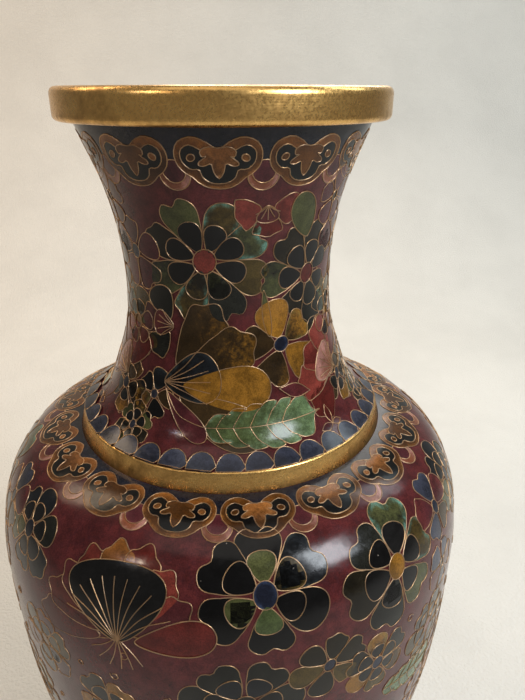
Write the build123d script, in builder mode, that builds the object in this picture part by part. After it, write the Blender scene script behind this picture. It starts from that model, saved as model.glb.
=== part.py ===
"""Cloisonne vase: soldered copper shells, gilt rings, cloison wires and the enamel between them."""

from build123d import *
import os

# ---------------------------------------------------------------- driving dimensions, mm
total_height = 380.0
rim_radius = 52.0
rim_height = 9.3
rim_taper = 0.5
rim_inner_radius = 43.6
rim_edge_round = 1.6

enamel = 0.9
copper = 1.2
lining = 0.5
wire = 0.35

ring_top = 274.2
ring_top_radius = 54.2
ring_crest = 0.9
ring_bottom = 267.8
ring_bottom_radius = 56.2
ring_inner_radius = 51.0

seam_height = 214.0
waist_height = 24.0
waist_radius = 49.3

foot_ring_height = 7.0
foot_ring_radius = 55.0
foot_ring_inner = 46.0
foot_edge_round = 1.2
foot_radius = 54.0
base_plate_radius = 50.0
base_plate_thickness = 1.2
base_enamel_gap = 0.1

neck_heads = 11
neck_head_turn = -2.5
neck_head_width = 24.0
neck_head_height = 361.6
neck_border_bottom = 351.5
scallops = 37
scallop_radius = 4.4
scallop_turn = -1.0
scallop_band_top = 277.8
foot_scallops = 40
foot_scallop_radius = 3.9
shoulder_heads = 17
shoulder_turn = 6.3
shoulder_head_width = 22.6
shoulder_head_radius = 65.3
shoulder_border_bottom = 262.2

neck_blossoms = 4
neck_blossom_height = 335.0
neck_blossom_turn = -11.0
neck_petal_reach = 12.3
neck_centre_radius = 2.87
body_blossoms = 7
body_blossom_height = 240.0
body_blossom_turn = 5.6
body_petal_reach = 18.0
body_centre_radius = 4.2
petal_count = 6

# shares of a cloud head's width
head_band = 0.085
side_lobe_out = 0.27
side_lobe_up = 0.05
side_lobe_radius = 0.215
foot_lobe_down = 0.09
foot_lobe_radius = 0.235
head_bar_width = 0.54
head_bar_height = 0.28
head_bar_up = 0.045

# shares of a petal's reach
petal_middle = 0.72
petal_half_length = 0.46
petal_half_width = 0.30

# slopes of the outlines where they end, out to up
shoulder_end_slope = 0.11
foot_end_slope = 0.75

rim_bottom = total_height - rim_height
front_distance = 2 * rim_radius
front_reach = 1.8 * rim_radius
scallop_reach = 1.9 * rim_radius
shoulder_reach = 2.2 * rim_radius

# ---------------------------------------------------------------- profile curves, (radius, height)
neck_points = [
    (ring_top_radius, ring_top),
    (47.6, 278.6),
    (40.6, 291.6),
    (36.6, 304.6),
    (35.0, 319.0),
    (35.6, 332.0),
    (37.5, 344.5),
    (41.0, 356.6),
    (46.6, rim_bottom),
]
body_points = [
    (waist_radius, waist_height),
    (53.0, 42.0),
    (61.0, 68.0),
    (70.2, 98.0),
    (78.2, 130.0),
    (85.2, 165.0),
    (88.2, seam_height),
    (87.0, 238.0),
    (80.6, 255.4),
    (70.6, 264.2),
    (ring_bottom_radius, ring_bottom),
]
foot_points = [(foot_radius, foot_ring_height), (50.6, 14.0), (waist_radius, waist_height)]


def inset(curve, depth, count=12):
    """The curve moved inwards by depth, square to itself; the curve runs from low to high."""
    points = []
    for step in range(count + 1):
        at = curve @ (step / count)
        along = curve % (step / count)
        points.append((at.X - depth * along.Y, at.Y + depth * along.X))
    return Spline(*points, tangents=(curve % 0, curve % 1), mode=Mode.PRIVATE)


def share_at(curve, height):
    """The share of the curve's length, 0 to 1, at which it reaches a height."""
    low, high = 0.0, 1.0
    for _ in range(40):
        middle = (low + high) / 2
        if (curve @ middle).Y < height:
            low = middle
        else:
            high = middle
    return middle


def wall_section(outer, inner, low=0.0, high=1.0):
    """The edges round the section between two curves, from one share of their length to another."""
    outside, inside = outer.trim(low, high), inner.trim(low, high)
    with BuildLine() as section:
        add(outside)
        add(inside)
        Line(outside @ 0, inside @ 0)
        Line(outside @ 1, inside @ 1)
    return section.edges()


with BuildLine(mode=Mode.PRIVATE):
    neck_outer = Spline(*neck_points)
    body_outer = Spline(*body_points, tangents=((0, 1), (-1, shoulder_end_slope)))
    foot_outer = Spline(*foot_points, tangents=((-foot_end_slope, 1), (0, 1)))
    neck_copper = inset(neck_outer, enamel)
    neck_inside = inset(neck_outer, enamel + copper)
    neck_hollow = inset(neck_outer, enamel + copper + lining)
    body_copper = inset(body_outer, enamel)
    body_inside = inset(body_outer, enamel + copper)
    body_hollow = inset(body_outer, enamel + copper + lining)
    foot_copper = inset(foot_outer, enamel)
    foot_inside = inset(foot_outer, enamel + copper)

border_low = share_at(neck_outer, neck_border_bottom)
scallop_high = share_at(neck_outer, scallop_band_top)
shoulder_low = share_at(body_outer, shoulder_border_bottom)
seam = share_at(body_outer, seam_height)

rim_seat = Plane.XY.offset(rim_bottom)
foot_seat = Plane.XY.offset(foot_ring_height)

# ---------------------------------------------------------------- gilt rings
with BuildPart() as rim_ring:
    with BuildSketch(Plane.XZ) as rim_section:
        with BuildLine():
            Polyline(
                (rim_inner_radius, rim_bottom),
                (rim_radius - rim_taper, rim_bottom),
                (rim_radius, total_height),
                (rim_inner_radius, total_height),
                close=True,
            )
        make_face()
        fillet(rim_section.vertices().sort_by(Axis.X)[-2:], rim_edge_round)
    revolve(axis=Axis.Z)
rim_ring.part.label = "rim_ring"

neck_end = neck_hollow @ 0
shoulder_end = body_hollow @ 1
with BuildPart() as neck_ring:
    with BuildSketch(Plane.XZ):
        with BuildLine():
            Polyline(
                (ring_top_radius, ring_top),
                (ring_top_radius + ring_crest, ring_top),
                (ring_bottom_radius, ring_bottom),
                (shoulder_end.X, shoulder_end.Y),
                (ring_inner_radius, shoulder_end.Y),
                (ring_inner_radius, neck_end.Y - lining),
                (neck_end.X, neck_end.Y),
                close=True,
            )
        make_face()
    revolve(axis=Axis.Z)
neck_ring.part.label = "neck_ring"

with BuildPart() as foot_ring:
    with BuildSketch(Plane.XZ) as foot_ring_section:
        with BuildLine():
            Polyline(
                (foot_ring_inner, 0),
                (foot_ring_radius, 0),
                (foot_ring_radius, foot_ring_height),
                (foot_ring_inner, foot_ring_height),
                close=True,
            )
        make_face()
        fillet(foot_ring_section.vertices().sort_by(Axis.X)[-2:], foot_edge_round)
    revolve(axis=Axis.Z)
foot_ring.part.label = "foot_ring"

# ---------------------------------------------------------------- copper shells and base
with BuildPart() as neck_shell:
    with BuildSketch(Plane.XZ):
        make_face(wall_section(neck_copper, neck_inside))
    revolve(axis=Axis.Z)
    split(bisect_by=rim_seat, keep=Keep.BOTTOM)
neck_shell.part.label = "neck_shell"

with BuildPart() as shoulder_shell:
    with BuildSketch(Plane.XZ):
        make_face(wall_section(body_copper, body_inside, seam, 1))
    revolve(axis=Axis.Z)
shoulder_shell.part.label = "shoulder_shell"

with BuildPart() as lower_body_shell:
    with BuildSketch(Plane.XZ):
        make_face(wall_section(body_copper, body_inside, 0, seam))
    revolve(axis=Axis.Z)
lower_body_shell.part.label = "lower_body_shell"

with BuildPart() as foot_shell:
    with BuildSketch(Plane.XZ):
        make_face(wall_section(foot_copper, foot_inside))
    revolve(axis=Axis.Z)
    split(bisect_by=foot_seat, keep=Keep.TOP)
foot_shell.part.label = "foot_shell"

with BuildPart() as base_plate:
    with BuildSketch(Plane.XY.offset(foot_ring_height)):
        Circle(base_plate_radius)
    extrude(amount=base_plate_thickness)
base_plate.part.label = "base_plate"

with BuildPart() as base_enamel:
    with BuildSketch(Plane.XY.offset(foot_ring_height)):
        Circle(foot_ring_inner - base_enamel_gap)
    extrude(amount=-enamel)
base_enamel.part.label = "base_enamel"

# ---------------------------------------------------------------- counter-enamel inside
with BuildPart() as neck_lining:
    with BuildSketch(Plane.XZ):
        make_face(wall_section(neck_inside, neck_hollow))
    revolve(axis=Axis.Z)
    split(bisect_by=rim_seat, keep=Keep.BOTTOM)
neck_lining.part.label = "neck_lining"

with BuildPart() as shoulder_lining:
    with BuildSketch(Plane.XZ):
        make_face(wall_section(body_inside, body_hollow, seam, 1))
    revolve(axis=Axis.Z)
shoulder_lining.part.label = "shoulder_lining"

with BuildPart() as lower_body_lining:
    with BuildSketch(Plane.XZ):
        make_face(wall_section(body_inside, body_hollow, 0, seam))
    revolve(axis=Axis.Z)
lower_body_lining.part.label = "lower_body_lining"


# ---------------------------------------------------------------- outlines of the enamel cells
# An outline is drawn flat, shrunk by a margin all round, and pushed square through the enamel.


def cloud_head(width, shrink):
    """A cloud head of three lobes."""
    out, up = side_lobe_out * width, side_lobe_up * width
    with Locations((-out, up), (out, up)):
        Circle(side_lobe_radius * width - shrink)
    with Locations((0, -foot_lobe_down * width)):
        Circle(foot_lobe_radius * width - shrink)
    with Locations((0, head_bar_up * width)):
        Rectangle(head_bar_width * width - 2 * shrink, head_bar_height * width - 2 * shrink)


def petals(reach, count, shrink):
    """Separate petals round a centre."""
    with PolarLocations(petal_middle * reach, count):
        Ellipse(petal_half_length * reach - shrink, petal_half_width * reach - shrink)


def disc(radius, shrink):
    """A round cell."""
    Circle(radius - shrink)


def facing(height):
    """The upright plane in front of the vase, centred at a height."""
    return Plane(origin=(0, -front_distance, height), x_dir=(1, 0, 0), z_dir=(0, -1, 0))


def above(radius):
    """The level plane over the front of the vase, centred at a radius."""
    return Plane(origin=(0, -radius, rim_bottom), x_dir=(1, 0, 0), z_dir=(0, 0, 1))


def prism(plane, reach, draw, size, *count, shrink=0.0):
    """The outline pushed square through the wall by its reach."""
    with BuildPart() as solid:
        with BuildSketch(plane):
            draw(size, *count, shrink)
        extrude(amount=-reach)
    return solid.part


def cell(wall, low, high, outer_prism, inner_prism=None):
    """What a stretch of enamel wall holds inside one prism and outside another."""
    with BuildPart() as solid:
        with BuildSketch(Plane.XZ):
            make_face(wall_section(*wall, low, high))
        revolve(axis=Axis.Z)
        add(outer_prism, mode=Mode.INTERSECT)
        if inner_prism is not None:
            add(inner_prism, mode=Mode.SUBTRACT)
    return solid.part


def ring_of(piece, count, turn=0.0, mode=Mode.ADD):
    """Copies of a solid at even angles about the axis, the first at the front plus a turn."""
    with PolarLocations(0, count, start_angle=turn):
        add(piece, mode=mode)


neck_wall = (neck_outer, neck_copper)
body_wall = (body_outer, body_copper)
foot_wall = (foot_outer, foot_copper)

# ---------------------------------------------------------------- neck border of cloud heads
neck_head = (facing(neck_head_height), front_reach, cloud_head, neck_head_width)
neck_band = head_band * neck_head_width
neck_head_edge = prism(*neck_head)
neck_head_band = prism(*neck_head, shrink=wire)
neck_head_inner = prism(*neck_head, shrink=wire + neck_band)
neck_head_heart = prism(*neck_head, shrink=2 * wire + neck_band)

with BuildPart() as neck_border_ground:
    with BuildSketch(Plane.XZ):
        make_face(wall_section(*neck_wall, border_low, 1))
    revolve(axis=Axis.Z)
    ring_of(neck_head_edge, neck_heads, neck_head_turn, Mode.SUBTRACT)
    split(bisect_by=rim_seat, keep=Keep.BOTTOM)
neck_border_ground.part.label = "neck_border_ground"

with BuildPart() as neck_border_wires:
    for edge, fill in ((neck_head_edge, neck_head_band), (neck_head_inner, neck_head_heart)):
        ring_of(cell(neck_wall, border_low, 1, edge, fill), neck_heads, neck_head_turn)
neck_border_wires.part.label = "neck_border_wires"

with BuildPart() as neck_border_bands:
    ring_of(cell(neck_wall, border_low, 1, neck_head_band, neck_head_inner), neck_heads, neck_head_turn)
neck_border_bands.part.label = "neck_border_bands"

with BuildPart() as neck_border_hearts:
    ring_of(cell(neck_wall, border_low, 1, neck_head_heart), neck_heads, neck_head_turn)
neck_border_hearts.part.label = "neck_border_hearts"

# ---------------------------------------------------------------- scallops above the neck ring
scallop = (above(ring_top_radius), scallop_reach, disc, scallop_radius)
scallop_edge = prism(*scallop)
scallop_fill = prism(*scallop, shrink=wire)

with BuildPart() as scallop_ground:
    with BuildSketch(Plane.XZ):
        make_face(wall_section(*neck_wall, 0, scallop_high))
    revolve(axis=Axis.Z)
    ring_of(scallop_edge, scallops, scallop_turn, Mode.SUBTRACT)
scallop_ground.part.label = "scallop_ground"

with BuildPart() as scallop_wires:
    ring_of(cell(neck_wall, 0, scallop_high, scallop_edge, scallop_fill), scallops, scallop_turn)
scallop_wires.part.label = "scallop_wires"

with BuildPart() as scallop_enamel:
    ring_of(cell(neck_wall, 0, scallop_high, scallop_fill), scallops, scallop_turn)
scallop_enamel.part.label = "scallop_enamel"

# ---------------------------------------------------------------- flowers on the neck
neck_blossom = (facing(neck_blossom_height), front_reach, petals, neck_petal_reach, petal_count)
neck_centre = (facing(neck_blossom_height), front_reach, disc, neck_centre_radius)
neck_petal_edge = prism(*neck_blossom)
neck_petal_fill = prism(*neck_blossom, shrink=wire)
neck_centre_edge = prism(*neck_centre)
neck_centre_fill = prism(*neck_centre, shrink=wire)

with BuildPart() as neck_ground_enamel:
    with BuildSketch(Plane.XZ):
        make_face(wall_section(*neck_wall, scallop_high, border_low))
    revolve(axis=Axis.Z)
    ring_of(neck_petal_edge, neck_blossoms, neck_blossom_turn, Mode.SUBTRACT)
    ring_of(neck_centre_edge, neck_blossoms, neck_blossom_turn, Mode.SUBTRACT)
neck_ground_enamel.part.label = "neck_ground_enamel"

with BuildPart() as neck_blossom_wires:
    for edge, fill in ((neck_petal_edge, neck_petal_fill), (neck_centre_edge, neck_centre_fill)):
        outline = cell(neck_wall, scallop_high, border_low, edge, fill)
        ring_of(outline, neck_blossoms, neck_blossom_turn)
neck_blossom_wires.part.label = "neck_blossom_wires"

with BuildPart() as neck_blossom_petals:
    inlay = cell(neck_wall, scallop_high, border_low, neck_petal_fill)
    ring_of(inlay, neck_blossoms, neck_blossom_turn)
neck_blossom_petals.part.label = "neck_blossom_petals"

with BuildPart() as neck_blossom_centres:
    inlay = cell(neck_wall, scallop_high, border_low, neck_centre_fill)
    ring_of(inlay, neck_blossoms, neck_blossom_turn)
neck_blossom_centres.part.label = "neck_blossom_centres"

# ---------------------------------------------------------------- shoulder border of cloud heads
shoulder_head = (above(shoulder_head_radius), shoulder_reach, cloud_head, shoulder_head_width)
shoulder_band = head_band * shoulder_head_width
shoulder_head_edge = prism(*shoulder_head)
shoulder_head_band = prism(*shoulder_head, shrink=wire)
shoulder_head_inner = prism(*shoulder_head, shrink=wire + shoulder_band)
shoulder_head_heart = prism(*shoulder_head, shrink=2 * wire + shoulder_band)

with BuildPart() as shoulder_border_ground:
    with BuildSketch(Plane.XZ):
        make_face(wall_section(*body_wall, shoulder_low, 1))
    revolve(axis=Axis.Z)
    ring_of(shoulder_head_edge, shoulder_heads, shoulder_turn, Mode.SUBTRACT)
shoulder_border_ground.part.label = "shoulder_border_ground"

shoulder_rims = (
    (shoulder_head_edge, shoulder_head_band),
    (shoulder_head_inner, shoulder_head_heart),
)
with BuildPart() as shoulder_border_wires:
    for edge, fill in shoulder_rims:
        ring_of(cell(body_wall, shoulder_low, 1, edge, fill), shoulder_heads, shoulder_turn)
shoulder_border_wires.part.label = "shoulder_border_wires"

with BuildPart() as shoulder_border_bands:
    inlay = cell(body_wall, shoulder_low, 1, shoulder_head_band, shoulder_head_inner)
    ring_of(inlay, shoulder_heads, shoulder_turn)
shoulder_border_bands.part.label = "shoulder_border_bands"

with BuildPart() as shoulder_border_hearts:
    inlay = cell(body_wall, shoulder_low, 1, shoulder_head_heart)
    ring_of(inlay, shoulder_heads, shoulder_turn)
shoulder_border_hearts.part.label = "shoulder_border_hearts"

# ---------------------------------------------------------------- flowers on the body
body_blossom = (facing(body_blossom_height), front_reach, petals, body_petal_reach, petal_count)
body_centre = (facing(body_blossom_height), front_reach, disc, body_centre_radius)
body_petal_edge = prism(*body_blossom)
body_petal_fill = prism(*body_blossom, shrink=wire)
body_centre_edge = prism(*body_centre)
body_centre_fill = prism(*body_centre, shrink=wire)

with BuildPart() as body_ground_enamel:
    with BuildSketch(Plane.XZ):
        make_face(wall_section(*body_wall, 0, shoulder_low))
    revolve(axis=Axis.Z)
    ring_of(body_petal_edge, body_blossoms, body_blossom_turn, Mode.SUBTRACT)
    ring_of(body_centre_edge, body_blossoms, body_blossom_turn, Mode.SUBTRACT)
body_ground_enamel.part.label = "body_ground_enamel"

with BuildPart() as body_blossom_wires:
    for edge, fill in ((body_petal_edge, body_petal_fill), (body_centre_edge, body_centre_fill)):
        outline = cell(body_wall, 0, shoulder_low, edge, fill)
        ring_of(outline, body_blossoms, body_blossom_turn)
body_blossom_wires.part.label = "body_blossom_wires"

with BuildPart() as body_blossom_petals:
    inlay = cell(body_wall, 0, shoulder_low, body_petal_fill)
    ring_of(inlay, body_blossoms, body_blossom_turn)
body_blossom_petals.part.label = "body_blossom_petals"

with BuildPart() as body_blossom_centres:
    inlay = cell(body_wall, 0, shoulder_low, body_centre_fill)
    ring_of(inlay, body_blossoms, body_blossom_turn)
body_blossom_centres.part.label = "body_blossom_centres"

# ---------------------------------------------------------------- scallops on the foot
foot_scallop = (facing(foot_ring_height), front_reach, disc, foot_scallop_radius)
foot_scallop_edge = prism(*foot_scallop)
foot_scallop_fill = prism(*foot_scallop, shrink=wire)

with BuildPart() as foot_ground_enamel:
    with BuildSketch(Plane.XZ):
        make_face(wall_section(*foot_wall))
    revolve(axis=Axis.Z)
    ring_of(foot_scallop_edge, foot_scallops, 0, Mode.SUBTRACT)
    split(bisect_by=foot_seat, keep=Keep.TOP)
foot_ground_enamel.part.label = "foot_ground_enamel"

with BuildPart() as foot_scallop_wires:
    ring_of(cell(foot_wall, 0, 1, foot_scallop_edge, foot_scallop_fill), foot_scallops)
    split(bisect_by=foot_seat, keep=Keep.TOP)
foot_scallop_wires.part.label = "foot_scallop_wires"

with BuildPart() as foot_scallop_enamel:
    ring_of(cell(foot_wall, 0, 1, foot_scallop_fill), foot_scallops)
    split(bisect_by=foot_seat, keep=Keep.TOP)
foot_scallop_enamel.part.label = "foot_scallop_enamel"

# ---------------------------------------------------------------- one file for each piece
pieces = [
    rim_ring,
    neck_shell,
    neck_lining,
    neck_border_ground,
    neck_border_wires,
    neck_border_bands,
    neck_border_hearts,
    neck_ground_enamel,
    neck_blossom_wires,
    neck_blossom_petals,
    neck_blossom_centres,
    scallop_ground,
    scallop_wires,
    scallop_enamel,
    neck_ring,
    shoulder_shell,
    shoulder_lining,
    shoulder_border_ground,
    shoulder_border_wires,
    shoulder_border_bands,
    shoulder_border_hearts,
    body_ground_enamel,
    body_blossom_wires,
    body_blossom_petals,
    body_blossom_centres,
    lower_body_shell,
    lower_body_lining,
    foot_shell,
    foot_ground_enamel,
    foot_scallop_wires,
    foot_scallop_enamel,
    foot_ring,
    base_plate,
    base_enamel,
]

os.makedirs("parts", exist_ok=True)
for piece in pieces:
    export_step(piece.part, f"parts/{piece.part.label}.step", write_pcurves=False)
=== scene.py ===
"""Cloisonne vase: gilt rings, maroon enamel, wired flowers and cloud-head borders, laid out as an add-on."""

import math
import random

import bpy
import numpy as np
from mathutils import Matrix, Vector


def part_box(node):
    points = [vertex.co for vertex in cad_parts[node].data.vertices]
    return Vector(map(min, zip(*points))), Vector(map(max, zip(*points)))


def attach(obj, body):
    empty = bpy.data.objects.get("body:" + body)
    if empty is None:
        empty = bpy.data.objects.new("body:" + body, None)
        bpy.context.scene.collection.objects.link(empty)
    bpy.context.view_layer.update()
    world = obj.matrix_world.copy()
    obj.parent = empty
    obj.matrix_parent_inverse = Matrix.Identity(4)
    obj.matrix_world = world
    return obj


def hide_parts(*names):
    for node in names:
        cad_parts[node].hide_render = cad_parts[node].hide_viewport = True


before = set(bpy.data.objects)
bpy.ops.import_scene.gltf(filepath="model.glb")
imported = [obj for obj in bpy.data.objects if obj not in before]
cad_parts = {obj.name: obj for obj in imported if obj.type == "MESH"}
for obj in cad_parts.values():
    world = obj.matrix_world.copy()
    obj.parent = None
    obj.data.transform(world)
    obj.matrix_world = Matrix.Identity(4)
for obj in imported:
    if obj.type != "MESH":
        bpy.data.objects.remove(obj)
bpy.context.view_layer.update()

bl_info = {
    "name": "Cloisonne Vase",
    "version": (1, 0, 0),
    "blender": (4, 5, 0),
    "location": "3D View > Sidebar > Vase",
    "description": "Builds the looks of a cloisonne vase round its packed frame",
    "category": "Object",
}

MM = 0.001
RIM_LOW, RIM_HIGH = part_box("rim_ring")
RIM_TOP = RIM_HIGH.z
RIM_RADIUS = RIM_HIGH.x

# ------------------------------------------------------------------ outlines of the vase, mm
# (radius, height) from the top down, the same few points as the frame's own shells.
NECK_POINTS = [
    (46.6, 370.7), (41.0, 356.6), (37.5, 344.5), (35.6, 332.0), (35.0, 319.0),
    (36.6, 304.6), (40.6, 291.6), (47.6, 278.6), (54.2, 274.2),
]
BODY_POINTS = [
    (56.2, 267.8), (70.6, 264.2), (80.6, 255.4), (87.0, 238.0), (88.2, 214.0), (85.2, 165.0),
    (78.2, 130.0), (70.2, 98.0), (61.0, 68.0), (53.0, 42.0), (49.3, 24.0),
]
FOOT_POINTS = [(49.3, 24.0), (50.6, 14.0), (54.0, 7.0)]

CHORD = 1.15         # longest straight step along a cell's edge or a wire, mm
CELL_RISE = 0.02     # how much each cell stands above the one it lies over, mm
WIRE_RISE = 0.10     # how far a wire's middle stands above its cell before it is sunk, mm
INNER_SHARE = 0.62   # how far out the inner petals reach over the outer ones


class Outline:
    """A smooth outline through a few points, measured by the length run down from its top."""

    def __init__(self, points, start=None, end=None, count=1200):
        p = np.array(points, float)
        t = np.r_[0, np.cumsum(np.hypot(*np.diff(p, axis=0).T))]
        n = len(p)
        h = np.diff(t)
        a, b = np.zeros((n, n)), np.zeros((n, 2))
        for i in range(1, n - 1):
            a[i, i - 1:i + 2] = h[i], 2 * (h[i - 1] + h[i]), h[i - 1]
            b[i] = 3 * (h[i] * (p[i] - p[i - 1]) / h[i - 1] + h[i - 1] * (p[i + 1] - p[i]) / h[i])
        for row, tangent, near, chord, step in ((0, start, 1, p[1] - p[0], h[0]),
                                                (n - 1, end, n - 2, p[-1] - p[-2], h[-1])):
            if tangent is None:
                a[row, row], a[row, near] = 2, 1
                b[row] = 3 * chord / step
            else:
                a[row, row] = 1
                b[row] = np.array(tangent) / np.hypot(*tangent)
        slope = np.linalg.solve(a, b)
        u = np.linspace(0, t[-1], count)
        k = np.clip(np.searchsorted(t, u, side="right") - 1, 0, n - 2)
        x = ((u - t[k]) / h[k])[:, None]
        width = h[k][:, None]
        self.points = ((1 + 2 * x) * (1 - x) ** 2 * p[k] + x * (1 - x) ** 2 * width * slope[k]
                       + x * x * (3 - 2 * x) * p[k + 1] + x * x * (x - 1) * width * slope[k + 1])
        self.run = np.r_[0, np.cumsum(np.hypot(*np.diff(self.points, axis=0).T))]
        self.length = self.run[-1]
        along = np.gradient(self.points, self.run, axis=0)
        along /= np.hypot(*along.T)[:, None]
        self.out = np.stack([-along[:, 1], along[:, 0]], 1)

    def radius(self, s):
        return np.interp(s, self.run, self.points[:, 0])

    def height(self, s):
        return np.interp(s, self.run, self.points[:, 1])

    def normal(self, s):
        return np.interp(s, self.run, self.out[:, 0]), np.interp(s, self.run, self.out[:, 1])

    def place(self, azimuth, s, lift=0.0):
        """Points in metres at an azimuth in degrees (0 is the front) and a length down the outline."""
        nr, nz = self.normal(s)
        r = self.radius(s) + lift * nr
        z = self.height(s) + lift * nz
        a = np.radians(azimuth)
        return np.stack([r * np.sin(a), -r * np.cos(a), z + 0 * a], -1) * MM

    def facing(self, azimuth, s):
        nr, nz = self.normal(s)
        a = np.radians(azimuth)
        return np.stack([nr * np.sin(a), -nr * np.cos(a), nz + 0 * a], -1)

    def degree(self, s):
        """The length of one degree of azimuth, mm."""
        return self.radius(s) * math.pi / 180


NECK = Outline(NECK_POINTS)
BODY = Outline(BODY_POINTS, start=(1, -0.11), end=(0, -1))
FOOT = Outline(FOOT_POINTS, start=(0, -1), end=(0.75, -1))


# ------------------------------------------------------------------ values a user would change
def colour(name, about, default):
    return bpy.props.FloatVectorProperty(name=name, description=about, subtype="COLOR", size=3,
                                         min=0, max=1, default=default)


def length(name, about, default):
    return bpy.props.FloatProperty(name=name, description=about, unit="LENGTH", min=0, default=default)


class VaseSizes(bpy.types.PropertyGroup):
    """Sizes of the metalwork and the enamel."""

    wire: length("Wire radius", "Radius of the round wire that stands half sunk in the enamel", 0.17 * MM)
    wire_sink: length("Wire sink", "How deep the wire's middle lies under the polished face", 0.1 * MM)
    cell_depth: length("Cell depth", "Depth of the enamel in a cell", 0.4 * MM)
    rim_round: length("Rim rounding", "Rounding of the mouth ring's edges", 1.6 * MM)


class VaseColours(bpy.types.PropertyGroup):
    """Colours of the enamels and the gilding."""

    maroon: colour("Maroon", "Ground enamel", (0.062, 0.0115, 0.011))
    plum: colour("Plum", "Darker clouds in the ground enamel", (0.040, 0.008, 0.010))
    black: colour("Black", "Heart of the dark petals", (0.0022, 0.0020, 0.0020))
    navy: colour("Navy", "Flower eyes and the dark strips", (0.006, 0.007, 0.013))
    slate: colour("Slate", "Half rounds above the neck ring", (0.026, 0.028, 0.042))
    olive: colour("Olive", "Outer petals", (0.042, 0.027, 0.006))
    amber: colour("Amber", "Cloud heads and warm petals", (0.120, 0.042, 0.008))
    green: colour("Green", "Leaves", (0.085, 0.125, 0.055))
    # teal: partly the enamel's tint by the wire, partly a painted highlight, the turquoise glint of the glaze
    teal: colour("Teal", "Bright edge of the petals beside the wire", (0.065, 0.15, 0.115))
    red: colour("Red", "Blossoms and flower hearts", (0.115, 0.020, 0.014))
    rose: colour("Rose", "Crescents between the cloud heads", (0.26, 0.12, 0.095))
    gold: colour("Gold", "Gilt rings", (0.72, 0.44, 0.15))
    patina: colour("Patina", "Dull stains on the gilding", (0.10, 0.055, 0.020))
    copper: colour("Copper", "Wires", (0.37, 0.25, 0.16))
    lining: colour("Lining", "Counter-enamel inside and under the foot", (0.035, 0.16, 0.20))
    floor: colour("Floor", "Pale floor and backdrop", (0.60, 0.575, 0.53))


# ------------------------------------------------------------------ drawing cells on the unrolled vase
# A point is (azimuth in degrees, length down the outline in mm).
def catmull(points, count):
    """A closed smooth line through a few points."""
    p = np.array(points, float)
    n = len(p)
    out = []
    for i in range(count):
        t = i * n / count
        k, x = int(t), t - int(t)
        a, b, c, d = p[k - 1], p[k % n], p[(k + 1) % n], p[(k + 2) % n]
        out.append(0.5 * ((2 * b) + (c - a) * x + (2 * a - 5 * b + 4 * c - d) * x * x
                          + (3 * b - a - 3 * c + d) * x ** 3))
    return np.array(out)


def open_line(points, step):
    """An open smooth line through a few points, with a point every step or so."""
    p = np.array(points, float)
    p = np.vstack([2 * p[0] - p[1], p, 2 * p[-1] - p[-2]])
    out = []
    for i in range(1, len(p) - 2):
        a, b, c, d = p[i - 1:i + 3]
        count = max(2, int(np.hypot(*(c - b)) / step))
        for j in range(count):
            x = j / count
            out.append(0.5 * ((2 * b) + (c - a) * x + (2 * a - 5 * b + 4 * c - d) * x * x
                              + (3 * b - a - 3 * c + d) * x ** 3))
    out.append(p[-2])
    return np.array(out)


def petal_shape(length, width, kind, lean, count):
    """A petal from its root at the origin along +x, in mm."""
    t = np.linspace(0, 2 * math.pi, count, endpoint=False)
    u = 0.5 * (1 - np.cos(t))
    side = np.sin(t)
    fullness = 0.42 + 0.78 * u
    across = 0.5 * width * side * fullness / 0.90
    along = length * u
    if kind == "heart":
        along = along - 0.15 * length * np.exp(-(across / (0.17 * width)) ** 2) * (u > 0.5)
        across = across * (1 + 0.10 * (u > 0.5) * np.sin(math.pi * (u - 0.5) * 2))
    elif kind == "ruffle":
        wave = np.cos(6.5 * (t - math.pi)) * np.clip((u - 0.45) / 0.3, 0, 1)
        along = along - 0.035 * length * (1 - wave) * np.clip((u - 0.5) * 2, 0, 1)
        across = across * (1 + 0.07 * wave)
    elif kind == "point":
        across = 0.5 * width * np.sign(side) * (u ** 0.55) * np.clip(1 - u, 0, 1) ** 0.75 / 0.50
    elif kind == "lens":
        across = 0.5 * width * np.sign(side) * np.sin(math.pi * u) ** 1.15
    return np.stack([along, across + lean * length * u * u], -1)


class Cell:
    """One enamel cell: its outline on the unrolled vase, its root and tip, finish and layer."""

    def __init__(self, outline, root, tip, finish, layer):
        self.outline = outline
        self.root = np.array(root, float)
        self.tip = np.array(tip, float)
        self.finish = finish
        self.layer = layer


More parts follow.
